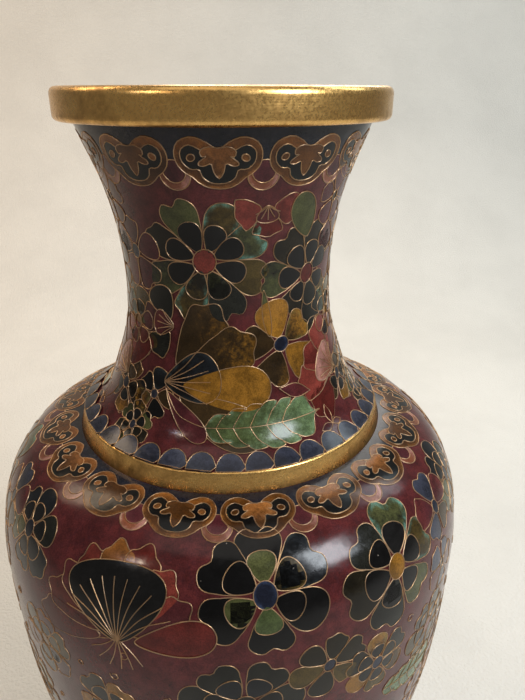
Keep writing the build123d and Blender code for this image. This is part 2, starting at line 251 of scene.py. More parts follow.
class Pattern:
    """The cells and loose wires of one part of the vase."""

    def __init__(self, surface):
        self.surface = surface
        self.cells = []
        self.wires = []

    def scale(self, at):
        return np.array([self.surface.degree(at[1]), 1.0])

    def shape(self, points, finish, layer=0, root=None, tip=None, count=None):
        """A cell through a few points."""
        p = np.array(points, float)
        mid = p.mean(0)
        size = self.scale(mid)
        rim = np.hypot(*((np.roll(p, -1, 0) - p) * size).T).sum()
        outline = catmull(p, count or max(14, int(rim / CHORD)))
        self.cells.append(Cell(outline, p[0] if root is None else root, mid if tip is None else tip,
                               finish, layer))

    def petal(self, root, tip, width, finish, layer=0, kind="round", lean=0.0):
        """A petal between a root and a tip."""
        root, tip = np.array(root, float), np.array(tip, float)
        size = self.scale((root + tip) / 2)
        run = (tip - root) * size
        reach = np.hypot(*run)
        count = max(16, int(2.3 * (reach + 0.6 * width) / CHORD))
        shape = petal_shape(reach, width, kind, lean, count)
        e = run / reach
        turned = shape[:, :1] * e + shape[:, 1:] * np.array([-e[1], e[0]])
        self.cells.append(Cell(root + turned / size, root, tip, finish, layer))

    def oval(self, centre, across, down, finish, layer=0, turn=0.0):
        """A round or oval cell, its two widths in mm."""
        centre = np.array(centre, float)
        size = self.scale(centre)
        count = max(14, int(1.6 * (across + down) / CHORD))
        t = np.linspace(0, 2 * math.pi, count, endpoint=False)
        flat = np.stack([0.5 * across * np.cos(t), 0.5 * down * np.sin(t)], -1)
        c, s = math.cos(math.radians(turn)), math.sin(math.radians(turn))
        flat = flat @ np.array([[c, s], [-s, c]])
        self.cells.append(Cell(centre + flat / size, centre, centre + flat[0] / size, finish, layer))

    def line(self, points, free=False):
        """A loose wire through a few points; a free one lies in the ground and the cells hide it."""
        p = np.array(points, float)
        size = self.scale(p.mean(0))
        self.wires.append((open_line(p * size, CHORD) / size, free))

    def spin(self, centre, mm, turn):
        """A point at so many mm from a centre, in the direction turn (0 is up, 90 to the right)."""
        size = self.scale(centre)
        a = math.radians(turn)
        return np.array(centre, float) + np.array([mm * math.sin(a), -mm * math.cos(a)]) / size

    def flower(self, centre, reach, petals, turn, outer, inner, eye, eye_share=0.34):
        """An open flower: broad outer petals, inner petals and an eye, no two petals quite alike."""
        hand = random.Random(f"{centre}")
        gap = 360 / petals
        outer, inner = outer.split(), inner.split()
        start = 0.46 * eye_share * reach
        for i in range(petals):
            way = turn + i * gap + hand.uniform(-4, 4)
            far = reach * hand.uniform(0.90, 1.08)
            width = 1.36 * far * math.sin(math.radians(gap / 2))
            kind = hand.choice(("round", "heart", "heart", "ruffle"))
            self.petal(self.spin(centre, start, way), self.spin(centre, far, way), width,
                       outer[i % len(outer)], 0, kind, hand.uniform(-0.05, 0.05))
            if inner:
                near = INNER_SHARE * far
                self.petal(self.spin(centre, start, way), self.spin(centre, near, way),
                           0.66 * width, inner[i % len(inner)], 2)
        if eye:
            self.oval(centre, eye_share * reach, 1.15 * eye_share * reach, eye, 3, turn)

    def fan(self, foot, reach, turn, spread, lobes, finishes, heart, share):
        """A half-open flower: a row of lobes round a dark heart, with loose wires fanning over it."""
        hand = random.Random(f"{foot}")
        finishes = finishes.split()
        for i in range(lobes):
            way = turn + spread * (i / (lobes - 1) - 0.5)
            far = reach * hand.uniform(0.90, 1.06)
            width = 2.3 * far * math.sin(math.radians(spread / lobes / 2))
            self.petal(self.spin(foot, 0.2 * reach, way), self.spin(foot, far, way), width,
                       finishes[i % len(finishes)], 0, hand.choice(("round", "ruffle")))
        tip = self.spin(foot, share * reach, turn)
        self.petal(foot, tip, 1.5 * share * reach * math.sin(math.radians(spread / 2.4)), heart, 2)
        for i in range(lobes + 2):
            way = turn + 0.78 * spread * (i / (lobes + 1) - 0.5)
            bend = 0.12 * (way - turn)
            self.line([foot, self.spin(foot, 0.45 * share * reach, way - bend),
                       self.spin(foot, 0.82 * share * reach, way)])

    def fern(self, root, tip, width, lobes, finish="leaf"):
        """A leaf with a midrib, saw-toothed edges and a curved vein to every notch."""
        root, tip = np.array(root, float), np.array(tip, float)
        size = self.scale((root + tip) / 2)
        run = (tip - root) * size
        f = np.array([-run[1], run[0]]) / np.hypot(*run)
        half = {}
        for side in (-1, 1):
            edge = []
            for k in range(lobes):
                share = 0.05 + 0.80 * k / lobes
                swell = 0.5 * width * math.sin(math.pi * (0.12 + 0.80 * share)) ** 0.7
                notch = run * share + f * side * swell * 0.78
                crest = run * (share + 0.34 / lobes) + f * side * swell * 1.03
                point = run * (share + 0.90 / lobes) + f * side * swell * 0.98
                edge += [notch, crest, point]
                rib = run * max(0.0, share - 0.10)
                if k:
                    bow = rib * 0.45 + notch * 0.55 + f * side * 0.06 * width
                    self.line([root + rib / size, root + bow / size, root + notch / size])
            half[side] = edge
        ring = [np.zeros(2)] + half[1] + [run * 0.93 + f * 0.06 * width, run, run * 0.93 - f * 0.06 * width]
        ring += half[-1][::-1]
        count = int(2.2 * np.hypot(*run) / CHORD) + 12 * lobes
        self.cells.append(Cell(root + catmull(ring, count) / size, root, tip, finish, 0))
        self.line([root, (root + tip) / 2, tip])

    def curl(self, at, mm, turn, flip=1):
        """A cloud curl of loose wire in the ground."""
        steps = [(0.0, 0), (0.55, 40), (0.85, 85), (0.80, 135), (0.45, 180), (0.30, 250)]
        self.line([self.spin(at, mm * k, turn + flip * w) for k, w in steps], free=True)


# ------------------------------------------------------------------ laying cells over one another
def inside(points, ring):
    """Which points lie inside a closed outline."""
    x, y = points[:, 0, None], points[:, 1, None]
    a, b = ring, np.roll(ring, -1, 0)
    crosses = (a[None, :, 1] > y) != (b[None, :, 1] > y)
    slope = (b[:, 0] - a[:, 0]) / np.where(b[:, 1] == a[:, 1], 1e-12, b[:, 1] - a[:, 1])
    return (crosses & (x < a[None, :, 0] + slope * (y - a[None, :, 1]))).sum(1) % 2 == 1


def covers(pattern, period):
    """For each cell the outlines of the later cells that reach into its box, copies next door included."""
    boxes = [(c.outline.min(0), c.outline.max(0)) for c in pattern.cells]
    found = []
    for i, (low, high) in enumerate(boxes):
        near = []
        for j, (l, h) in enumerate(boxes):
            for shift in (-period, 0, period):
                if (j > i and l[0] + shift < high[0] and h[0] + shift > low[0]
                        and l[1] < high[1] and h[1] > low[1]):
                    near.append((j, pattern.cells[j].outline + [shift, 0]))
        found.append(near)
    return found


def stack(pattern, period):
    """Gives every cell a rank above the cells it lies over, and returns the wires that stay in sight."""
    pattern.cells.sort(key=lambda c: c.layer)
    above = covers(pattern, period)
    ranks = [0] * len(pattern.cells)
    for i, cell in enumerate(pattern.cells):
        for j, ring in above[i]:
            if inside(cell.outline, ring).any() or inside(ring, cell.outline).any():
                ranks[j] = max(ranks[j], ranks[i] + 1)
        cell.rank = ranks[i]
    wires = []
    for cell, near in zip(pattern.cells, above):
        seen = clipped(cell.outline, [ring for _, ring in near], closed=True)
        wires += [(line, closed, cell.rank) for line, closed in seen]
    rings = [c.outline + [shift, 0] for c in pattern.cells for shift in (-period, 0, period)]
    for line, free in pattern.wires:
        if free:
            box = (line.min(0), line.max(0))
            near = [r for r in rings if (r.min(0) < box[1]).all() and (r.max(0) > box[0]).all()]
            wires += [(part, closed, 0) for part, closed in clipped(line, near, closed=False)]
        else:
            under = [c.rank for c in pattern.cells if inside(line, c.outline).any()]
            wires.append((line, False, max(under, default=0)))
    return wires


def clipped(line, rings, closed):
    """The stretches of a line that no ring covers, each as (points, closed)."""
    def hidden(p):
        out = np.zeros(len(p), bool)
        for ring in rings:
            out |= inside(p, ring)
        return out

    under = hidden(line)
    if not under.any():
        return [(line, closed)]
    if under.all():
        return []
    if closed:
        first = int(np.argmax(under))
        line = np.roll(line, -first, 0)
        line = np.vstack([line, line[:1]])
        under = np.r_[np.roll(under, -first), under[first]]
    runs, run = [], []
    for k in range(len(line)):
        if not under[k]:
            if not run and k:
                run.append(meeting(line[k], line[k - 1], hidden))
            run.append(line[k])
        elif run:
            run.append(meeting(line[k - 1], line[k], hidden))
            runs.append((np.array(run), False))
            run = []
    if len(run) > 1:
        runs.append((np.array(run), False))
    return runs


def meeting(clear, covered, hidden):
    """Where a wire runs under a petal."""
    low, high = 0.0, 1.0
    for _ in range(5):
        mid = (low + high) / 2
        if hidden((clear + (covered - clear) * mid)[None])[0]:
            high = mid
        else:
            low = mid
    return clear + (covered - clear) * low


# ------------------------------------------------------------------ modelling
def alone(piece):
    bpy.ops.object.select_all(action="DESELECT")
    piece.select_set(True)
    bpy.context.view_layer.objects.active = piece
    return piece


def named(name):
    bpy.context.object.name = bpy.context.object.data.name = name
    return bpy.context.object


def stations(surface, fine, coarse, border, start=0.0, end=None):
    """Lengths down an outline: close together above the border, wider below it."""
    end = surface.length if end is None else end
    full = np.r_[np.arange(0, min(border, surface.length), fine), np.arange(border, surface.length, coarse),
                 surface.length]
    kept = full[(full > start + 0.2) & (full < end - 0.2)]
    return np.r_[start, kept, end]


def turned(name, profile, steps):
    """A closed section turned once round the vase's axis, (radius, height) in mm."""
    bpy.ops.object.select_all(action="DESELECT")
    bpy.ops.mesh.primitive_circle_add(vertices=len(profile), radius=1)
    piece = named(name)
    p = np.array(profile, float) * MM
    piece.data.vertices.foreach_set("co", np.stack([0 * p[:, 0], -p[:, 0], p[:, 1]], -1).ravel())
    bpy.ops.object.mode_set(mode="EDIT")
    bpy.ops.mesh.select_all(action="SELECT")
    bpy.ops.mesh.spin(steps=steps, angle=2 * math.pi, center=(0, 0, 0), axis=(0, 0, 1))
    bpy.ops.mesh.select_all(action="SELECT")
    bpy.ops.mesh.remove_doubles(threshold=1e-6)
    bpy.ops.mesh.normals_make_consistent(inside=False)
    bpy.ops.object.mode_set(mode="OBJECT")
    bpy.ops.object.shade_smooth_by_angle(angle=math.radians(35))
    return piece


def skin(name, surface, s, steps, lift, depth):
    """A thin turned skin that follows an outline."""
    nr, nz = surface.normal(s)
    r, z = surface.radius(s), surface.height(s)
    face = np.stack([r + lift * nr, z + lift * nz], 1)
    back = np.stack([r + (lift - depth) * nr, z + (lift - depth) * nz], 1)
    return turned(name, np.vstack([face, back[::-1]]), steps)


def rounded(corners, radius, count=6):
    """A closed section with its corners rounded; a corner's own radius is its third number."""
    p = np.array([c[:2] for c in corners], float)
    out = []
    for i, corner in enumerate(corners):
        r = corner[2] if len(corner) > 2 else radius
        a, b = p[i - 1] - p[i], p[(i + 1) % len(p)] - p[i]
        la, lb = np.hypot(*a), np.hypot(*b)
        a, b = a / la, b / lb
        half = math.acos(np.clip(a @ b, -1, 1)) / 2
        cut = min(r / math.tan(half), 0.48 * la, 0.48 * lb)
        one, two = p[i] + a * cut, p[i] + b * cut
        for k in range(count + 1):
            t = k / count
            out.append((1 - t) ** 2 * one + 2 * t * (1 - t) * p[i] + t * t * two)
    return out


def cut_sheet(rings, columns, rows):
    """Flat cells cut into facets along the columns and rows, with each facet's cell number."""
    bpy.ops.object.select_all(action="DESELECT")
    for i, ring in enumerate(rings):
        bpy.ops.mesh.primitive_circle_add(vertices=len(ring), radius=1, fill_type="NGON")
        if i == 0:
            bpy.ops.object.mode_set(mode="EDIT")
    bpy.ops.object.mode_set(mode="OBJECT")
    mesh = bpy.context.object.data
    flat = np.vstack(rings)
    mesh.vertices.foreach_set("co", np.c_[flat[:, 0], -flat[:, 1], 0 * flat[:, 0]].ravel())
    number = mesh.attributes.new("cell", "INT", "FACE")
    number.data.foreach_set("value", np.arange(len(rings), dtype=np.int32))
    bpy.ops.object.mode_set(mode="EDIT")
    low, high = flat.min(0), flat.max(0)
    for value, low_end, high_end, way in ((columns, low[0], high[0], 0), (rows, low[1], high[1], 1)):
        for line in value:
            if low_end < line < high_end:
                bpy.ops.mesh.select_all(action="SELECT")
                bpy.ops.mesh.bisect(plane_co=(line, 0, 0) if way == 0 else (0, -line, 0),
                                    plane_no=(1, 0, 0) if way == 0 else (0, 1, 0), threshold=1e-4)
    bpy.ops.object.mode_set(mode="OBJECT")
    return bpy.context.object


def edge_distance(points, ring, size):
    """How far points lie from an outline, mm."""
    a = ring * size
    b = np.roll(a, -1, 0)
    p = points * size
    ab = b - a
    t = np.clip(((p[:, None] - a) * ab).sum(-1) / np.maximum((ab * ab).sum(-1), 1e-12), 0, 1)
    gap = p[:, None] - (a + t[..., None] * ab)
    return np.sqrt((gap * gap).sum(-1)).min(1)


def enamel(name, pattern, finish, steps, rows, repeats=3, period=120.0):
    """All the cells of one finish as one piece: cut flat, repeated, then laid on the vase and given depth."""
    sizes = bpy.context.scene.vase_sizes
    surface = pattern.surface
    cells = [c for c in pattern.cells if c.finish == finish]
    if not cells:
        return None
    rings = []
    for c in cells:
        x, y = c.outline[:, 0], -c.outline[:, 1]
        area = (x * np.roll(y, -1) - np.roll(x, -1) * y).sum()
        rings.append(c.outline if area > 0 else c.outline[::-1])
    step = 360 / steps
    columns = np.arange(math.floor(-200 / step), 400 / step) * step
    piece = cut_sheet(rings, columns, rows)
    piece.name = piece.data.name = name
    mesh = piece.data
    co = np.zeros(len(mesh.vertices) * 3)
    mesh.vertices.foreach_get("co", co)
    co = co.reshape(-1, 3)
    flat = np.stack([co[:, 0], -co[:, 1]], 1)
    cell_of = np.zeros(len(flat), int)
    number = np.zeros(len(mesh.polygons), np.int32)
    mesh.attributes["cell"].data.foreach_get("value", number)
    totals = np.zeros(len(mesh.polygons), np.int32)
    mesh.polygons.foreach_get("loop_total", totals)
    corners = np.zeros(len(mesh.loops), np.int32)
    mesh.loops.foreach_get("vertex_index", corners)
    cell_of[corners] = np.repeat(number, totals)
    along, edge, tone, lift = (np.zeros(len(flat)) for _ in range(4))
    for i, c in enumerate(cells):
        mine = cell_of == i
        size = pattern.scale(c.outline.mean(0))
        run = (c.tip - c.root) * size
        along[mine] = ((flat[mine] - c.root) * size) @ run / max(run @ run, 1e-9)
        edge[mine] = edge_distance(flat[mine], c.outline, size)
        tone[mine] = random.Random(f"{name}{i}").random()
        lift[mine] = CELL_RISE * c.rank
    for label, values in (("along", along), ("edge", edge), ("tone", tone), ("lift", lift),
                          ("azimuth", flat[:, 0]), ("down", flat[:, 1])):
        mesh.attributes.new(label, "FLOAT", "POINT").data.foreach_set("value", values.astype(np.float32))
    mesh.attributes.remove(mesh.attributes["cell"])
    alone(piece)
    if repeats > 1:
        bpy.ops.object.modifier_add(type="ARRAY")
        array = piece.modifiers[-1]
        array.count = repeats
        array.use_relative_offset = False
        array.use_constant_offset = True
        array.constant_offset_displace = (period, 0, 0)
        bpy.ops.object.modifier_apply(modifier=array.name)
    mesh = piece.data
    co = np.zeros(len(mesh.vertices) * 3)
    mesh.vertices.foreach_get("co", co)
    co = co.reshape(-1, 3)
    up = np.zeros(len(co), np.float32)
    mesh.attributes["lift"].data.foreach_get("value", up)
    mesh.attributes["azimuth"].data.foreach_set("value", co[:, 0].astype(np.float32))
    mesh.vertices.foreach_set("co", surface.place(co[:, 0], -co[:, 1], up).ravel())
    bpy.ops.object.modifier_add(type="SOLIDIFY")
    solid = piece.modifiers[-1]
    solid.thickness = sizes.cell_depth
    solid.offset = -1
    bpy.ops.object.modifier_apply(modifier=solid.name)
    bpy.ops.object.shade_smooth()
    mesh = piece.data
    place = [np.zeros(len(mesh.vertices), np.float32) for _ in range(2)]
    for label, values in zip(("azimuth", "down"), place):
        mesh.attributes[label].data.foreach_get("value", values)
    mesh.normals_split_custom_set_from_vertices(surface.facing(*place).tolist())
    for label in ("azimuth", "down", "lift"):
        mesh.attributes.remove(mesh.attributes[label])
    return piece


def wiring(name, surface, wires, repeats=3, period=120.0):
    """Wires that stand half sunk in the enamel."""
    sizes = bpy.context.scene.vase_sizes
    data = bpy.data.curves.new(name, "CURVE")
    data.dimensions = "3D"
    data.bevel_depth = sizes.wire
    data.bevel_resolution = 0
    data.use_fill_caps = True
    for turn in range(repeats):
        for line, closed, rank in wires:
            spline = data.splines.new("POLY")
            spline.points.add(len(line) - 1)
            lift = WIRE_RISE + CELL_RISE * rank - sizes.wire_sink / MM
            place = surface.place(line[:, 0] + turn * period, line[:, 1], lift)
            spline.points.foreach_set("co", np.c_[place, np.ones(len(line))].ravel())
            spline.use_cyclic_u = closed
    piece = bpy.data.objects.new(name, data)
    bpy.context.collection.objects.link(piece)
    alone(piece)
    bpy.ops.object.convert(target="MESH")
    bpy.ops.object.mode_set(mode="EDIT")
    bpy.ops.mesh.select_all(action="SELECT")
    bpy.ops.mesh.normals_make_consistent(inside=False)
    bpy.ops.object.mode_set(mode="OBJECT")
    bpy.ops.object.shade_smooth()
    return bpy.context.object


def hand_in(piece, slot, material, *nodes):
    """A finished piece: its finish, its slot, which is not used, and the frame nodes it stands for."""
    if piece is None:
        return None
    piece.data.materials.clear()
    piece.data.materials.append(material)
    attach(piece, "root")
    if nodes:
        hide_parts(*nodes)
    return piece


# ------------------------------------------------------------------ finishes
class Nodes:
    """A node tree with short calls for adding and joining nodes."""

    def __init__(self, tree):
        self.tree = tree

    def add(self, kind, **values):
        node = self.tree.nodes.new(kind)
        for key, value in values.items():
            if hasattr(node, key):
                setattr(node, key, value)
            else:
                node.inputs[key.replace("_", " ").title()].default_value = value
        return node

    def link(self, a, b):
        self.tree.links.new(a, b)

    def feed(self, node, index, value):
        if hasattr(value, "is_output"):
            self.link(value, node.inputs[index])
        else:
            node.inputs[index].default_value = value

    def math(self, operation, a, b=0.5, clamp=False):
        node = self.add("ShaderNodeMath", operation=operation, use_clamp=clamp)
        self.feed(node, 0, a)
        self.feed(node, 1, b)
        return node.outputs[0]

    def spread(self, value, low, high, to_low=0.0, to_high=1.0, smooth=True):
        node = self.add("ShaderNodeMapRange", interpolation_type="SMOOTHSTEP" if smooth else "LINEAR")
        self.link(value, node.inputs[0])
        for i, x in enumerate((low, high, to_low, to_high)):
            self.feed(node, i + 1, x)
        return node.outputs[0]

    def mix(self, factor, a, b, blend="MIX"):
        node = self.add("ShaderNodeMix", data_type="RGBA", blend_type=blend)
        self.feed(node, 0, factor)
        self.feed(node, 6, a)
        self.feed(node, 7, b)
        return node.outputs[2]

    def noise(self, place, scale, detail=3.0, rough=0.6, warp=0.0):
        node = self.add("ShaderNodeTexNoise")
        self.link(place, node.inputs["Vector"])
        for key, value in (("Scale", scale), ("Detail", detail), ("Roughness", rough), ("Distortion", warp)):
            self.feed(node, key, value)
        return node.outputs["Fac"]


def group(name, inputs, outputs):
    """A node group with named sockets, ready to be filled."""
    tree = bpy.data.node_groups.new(name, "ShaderNodeTree")
    for label, kind, default in inputs:
        socket = tree.interface.new_socket(label, in_out="INPUT", socket_type="NodeSocket" + kind)
        if default is not None:
            socket.default_value = default
    for label, kind in outputs:
        tree.interface.new_socket(label, in_out="OUTPUT", socket_type="NodeSocket" + kind)
    n = Nodes(tree)
    return n, n.add("NodeGroupInput").outputs, n.add("NodeGroupOutput").inputs


def enamel_group():
    """Fired glass in a cell: shaded from root to tip, paler by the wire (partly the enamel's own tint, partly
    a painted highlight), mottled, specked and pitted.
    """
    n, i, o = group("fired_enamel", (
        ("Place", "Vector", None), ("Along", "Float", 0.5), ("Edge", "Float", 2.0), ("Tone", "Float", 0.5),
        ("Root", "Color", (0, 0, 0, 1)), ("Tip", "Color", (0, 0, 0, 1)), ("Rim", "Color", (0, 0, 0, 1)),
        ("Rim Width", "Float", 1.0), ("Rim Amount", "Float", 0.5), ("Mottle", "Float", 0.5),
        ("Polish", "Float", 0.16)),
        (("Colour", "Color"), ("Roughness", "Float"), ("Height", "Float")))
    cloud = n.noise(i["Place"], 190.0, 3.0, 0.62, 0.4)
    blotch = n.noise(i["Place"], 620.0, 4.0, 0.65, 0.3)
    grain = n.noise(i["Place"], 2300.0, 2.0, 0.7)
    drift = n.math("MULTIPLY", n.math("SUBTRACT", blotch, 0.5), 1.5)
    share = n.spread(n.math("ADD", i["Along"], drift), 0.15, 0.95)
    base = n.mix(share, i["Root"], i["Tip"])
    # the paler rim by the wire: partly the enamel's own tint, partly a painted highlight, the turquoise glint
    # of the glaze put into the colour in patches
    ragged = n.math("ADD", i["Edge"], n.math("MULTIPLY", n.math("SUBTRACT", blotch, 0.5), 2.6))
    near = n.math("SUBTRACT", 1.0, n.math("DIVIDE", ragged, i["Rim Width"]), True)
    patchy = n.spread(cloud, 0.36, 0.62)
    near = n.math("MULTIPLY", n.math("MULTIPLY", near, patchy), i["Rim Amount"])
    rimmed = n.mix(near, base, i["Rim"])
    value = n.math("ADD", n.spread(cloud, 0.3, 0.7, 0.62, 1.45), n.math("MULTIPLY", i["Tone"], 0.5))
    value = n.math("MULTIPLY", value, n.spread(grain, 0.3, 0.7, 0.72, 1.3))
    toned = n.mix(i["Mottle"], rimmed, n.math("MULTIPLY", value, 0.85), "MULTIPLY")
    # tiny open bubbles, filled with grey dust
    pits = n.add("ShaderNodeTexVoronoi", feature="F1", scale=430.0)
    n.link(i["Place"], pits.inputs["Vector"])
    chosen = n.math("GREATER_THAN", pits.outputs["Color"], 0.90)
    dot = n.math("MULTIPLY", n.math("SUBTRACT", 1.0, n.spread(pits.outputs["Distance"], 0.05, 0.11)), chosen)
    n.link(n.mix(n.math("MULTIPLY", dot, 0.55), toned, (0.32, 0.27, 0.22, 1)), o["Colour"])
    rough = n.math("ADD", i["Polish"], n.spread(blotch, 0.35, 0.75, -0.03, 0.09))
    n.link(n.math("ADD", rough, n.math("MULTIPLY", dot, 0.35)), o["Roughness"])
    wavy = n.math("MULTIPLY", n.noise(i["Place"], 95.0, 1.0), 0.7)
    orange = n.math("MULTIPLY", blotch, 0.16)
    n.link(n.math("SUBTRACT", n.math("ADD", wavy, orange), n.math("MULTIPLY", dot, 0.20)), o["Height"])
    return n.tree


def metal_group():
    """Gilding: warm metal with lathe lines, dull stains, dark spots and small dents."""
    n, i, o = group("old_gilding", (
        ("Place", "Vector", None), ("Metal", "Color", (1, 1, 1, 1)), ("Stain", "Color", (0, 0, 0, 1)),
        ("Stained", "Float", 0.5), ("Polish", "Float", 0.3)),
        (("Colour", "Color"), ("Roughness", "Float"), ("Height", "Float")))
    wide = n.noise(i["Place"], 38.0, 4.0, 0.62, 0.5)
    small = n.noise(i["Place"], 260.0, 4.0, 0.68)
    fine = n.noise(i["Place"], 1500.0, 2.0, 0.7)
    squash = n.add("ShaderNodeMapping")
    squash.inputs["Scale"].default_value = (14.0, 14.0, 2600.0)
    n.link(i["Place"], squash.inputs["Vector"])
    lathe = n.noise(squash.outputs[0], 1.0, 2.0, 0.5)
    dull = n.spread(n.math("ADD", wide, n.math("MULTIPLY", n.math("SUBTRACT", small, 0.5), 0.55)), 0.50, 0.72)
    spots = n.math("MULTIPLY", n.spread(small, 0.66, 0.74), n.spread(wide, 0.42, 0.55))
    worn = n.math("ADD", n.math("MULTIPLY", dull, 0.75), spots, True)
    worn = n.math("MULTIPLY", worn, i["Stained"])
    base = n.mix(n.spread(small, 0.35, 0.65, 0.0, 0.35), i["Metal"], (0.62, 0.33, 0.10, 1))
    n.link(n.mix(worn, base, i["Stain"]), o["Colour"])
    rough = n.math("ADD", i["Polish"], n.math("MULTIPLY", worn, 0.28))
    n.link(n.math("ADD", rough, n.spread(fine, 0.3, 0.7, -0.04, 0.07)), o["Roughness"])
    high = n.math("ADD", n.math("MULTIPLY", lathe, 0.06), n.math("MULTIPLY", small, 0.14))
    n.link(n.math("ADD", high, n.math("MULTIPLY", wide, 1.2)), o["Height"])
    return n.tree


def rgba(c):
    return (c[0], c[1], c[2], 1.0)


def shader(name, tree, values, bump, **principled):
    """A material that takes colour, roughness and height from one of the groups."""
    m = bpy.data.materials.new(name)
    m.use_nodes = True
    n = Nodes(m.node_tree)
    glass = m.node_tree.nodes["Principled BSDF"]
    core = n.add("ShaderNodeGroup")
    core.node_tree = tree
    n.link(n.add("ShaderNodeTexCoord").outputs["Object"], core.inputs["Place"])
    for key, value in values.items():
        if isinstance(value, str):
            read = n.add("ShaderNodeAttribute", attribute_name=value)
            n.link(read.outputs["Fac"], core.inputs[key])
        else:
            core.inputs[key].default_value = value
    n.link(core.outputs["Colour"], glass.inputs["Base Color"])
    n.link(core.outputs["Roughness"], glass.inputs["Roughness"])
    relief = n.add("ShaderNodeBump")
    relief.inputs["Strength"].default_value = 1.0
    relief.inputs["Distance"].default_value = bump
    n.link(core.outputs["Height"], relief.inputs["Height"])
    n.link(relief.outputs["Normal"], glass.inputs["Normal"])
    for key, value in principled.items():
        glass.inputs[key.replace("_", " ")].default_value = value
    return m


def make_finishes():
    """Every material of the vase, by name."""
    c = bpy.context.scene.vase_colours
    fired, gilding = enamel_group(), metal_group()
    black, olive, amber, green = rgba(c.black), rgba(c.olive), rgba(c.amber), rgba(c.green)
    teal, red, rose, navy = rgba(c.teal), rgba(c.red), rgba(c.rose), rgba(c.navy)
    table = {
        # finish: root, tip, rim, rim width in mm, rim amount, mottle; the rim is partly the enamel's tint and
        # partly a painted highlight beside the wire
        "black": (black, (0.0045, 0.0042, 0.0040, 1), (0.014, 0.022, 0.016, 1), 0.8, 0.4, 0.8),
        "ink": (black, (0.0060, 0.0070, 0.0085, 1), (0.028, 0.040, 0.042, 1), 1.0, 0.5, 0.8),
        "olive": ((0.008, 0.006, 0.003, 1), olive, teal, 1.5, 0.75, 1.0),
        "moss": ((0.007, 0.007, 0.005, 1), (0.040, 0.042, 0.014, 1), (0.075, 0.17, 0.135, 1), 2.0, 0.85, 1.0),
        "amber": ((0.045, 0.016, 0.004, 1), amber, (0.21, 0.085, 0.022, 1), 1.0, 0.5, 1.0),
        "sprout": ((0.050, 0.018, 0.004, 1), (0.150, 0.056, 0.014, 1), (0.24, 0.11, 0.04, 1), 0.7, 0.5, 1.0),
        "honey": ((0.022, 0.012, 0.004, 1), (0.150, 0.066, 0.008, 1), (0.095, 0.085, 0.024, 1),
                  1.2, 0.6, 1.0),
        "leaf": ((0.040, 0.052, 0.018, 1), green, (0.15, 0.21, 0.14, 1), 1.2, 0.5, 1.0),
        "red": ((0.055, 0.007, 0.005, 1), red, (0.16, 0.045, 0.035, 1), 0.8, 0.4, 0.9),
        "rose": ((0.14, 0.045, 0.022, 1), rose, (0.34, 0.20, 0.16, 1), 0.7, 0.6, 0.7),
        "navy": (navy, (0.009, 0.012, 0.022, 1), (0.035, 0.050, 0.095, 1), 0.9, 0.6, 0.8),
        "slate": ((0.012, 0.013, 0.020, 1), rgba(c.slate), (0.045, 0.048, 0.060, 1), 1.2, 0.5, 0.8),
        "plum": (rgba(c.plum), (0.052, 0.011, 0.012, 1), (0.10, 0.028, 0.026, 1), 1.0, 0.5, 0.9),
        "maroon_cell": (rgba(c.plum), rgba(c.maroon), (0.09, 0.020, 0.018, 1), 1.0, 0.4, 0.9),
    }
    made = {}
    for name, (root, tip, rim, wide, amount, mottle) in table.items():
        made[name] = shader(name + "_enamel", fired, {
            "Along": "along", "Edge": "edge", "Tone": "tone", "Root": root, "Tip": tip, "Rim": rim,
            "Rim Width": wide, "Rim Amount": amount, "Mottle": mottle}, 0.00012, **GLASS)
    made["maroon"] = shader("maroon_enamel", fired, {
        "Along": 0.45, "Edge": 9.0, "Tone": 0.4, "Root": rgba(c.maroon), "Tip": rgba(c.plum),
        "Rim": rgba(c.red), "Rim Amount": 0.0, "Mottle": 0.9}, 0.00012, **GLASS)
    made["strip"] = shader("strip_enamel", fired, {
        "Along": 0.45, "Edge": 9.0, "Tone": 0.3, "Root": navy, "Tip": (0.018, 0.016, 0.019, 1), "Rim": navy,
        "Rim Amount": 0.0, "Mottle": 0.9}, 0.00012, **GLASS)
    made["lining"] = shader("counter_enamel", fired, {
        "Along": 0.45, "Edge": 9.0, "Tone": 0.5, "Root": rgba(c.lining), "Tip": (0.012, 0.075, 0.12, 1),
        "Rim": navy, "Rim Amount": 0.0, "Mottle": 1.0, "Polish": 0.30}, 0.0005, **GLASS)
    made["gilt"] = shader("gilt_metal", gilding, {
        "Metal": rgba(c.gold), "Stain": rgba(c.patina), "Stained": 0.7, "Polish": 0.27},
        0.00035, Metallic=1.0)
    made["wire"] = shader("copper_wire", gilding, {
        "Metal": rgba(c.copper), "Stain": (0.10, 0.05, 0.03, 1), "Stained": 0.6, "Polish": 0.34}, 0.00005,
        Metallic=1.0)
    made["copper"] = shader("copper_shell", gilding, {
        "Metal": (0.46, 0.20, 0.11, 1), "Stain": rgba(c.patina), "Stained": 0.9, "Polish": 0.40}, 0.0002,
        Metallic=1.0)
    return made


GLASS = {"Specular_IOR_Level": 0.24, "IOR": 1.5}


# ------------------------------------------------------------------ borders
HEAD_LINE = ((0, 3.2), (3, 1.2), (6.2, 0), (9.6, 1.2), (11.2, 4.2), (10.9, 7.5), (9.2, 9.8), (7.3, 11.0),
             (5.8, 12.4), (3.4, 13.8), (0, 14.3))
TREFOIL_LINE = ((0, 5.5), (3.6, 3.9), (6.9, 2.1), (9.4, 3.6), (9.5, 6.6), (7.6, 8.7), (5.2, 8.9), (4.4, 11.0),
                (2.6, 12.4), (0, 12.8))
SPROUT_LINE = ((0, 2.9), (2.4, 2.6), (4.4, 3.6), (4.2, 5.3), (3.0, 5.2), (4.9, 6.6), (5.2, 7.6), (3.8, 7.9),
               (1.9, 7.2), (1.4, 9.4), (0, 11.4))


def both_sides(line):
    """A half outline from its top to its foot and back up the other side."""
    return [(x, y) for x, y in line] + [(-x, y) for x, y in line[-2:0:-1]]


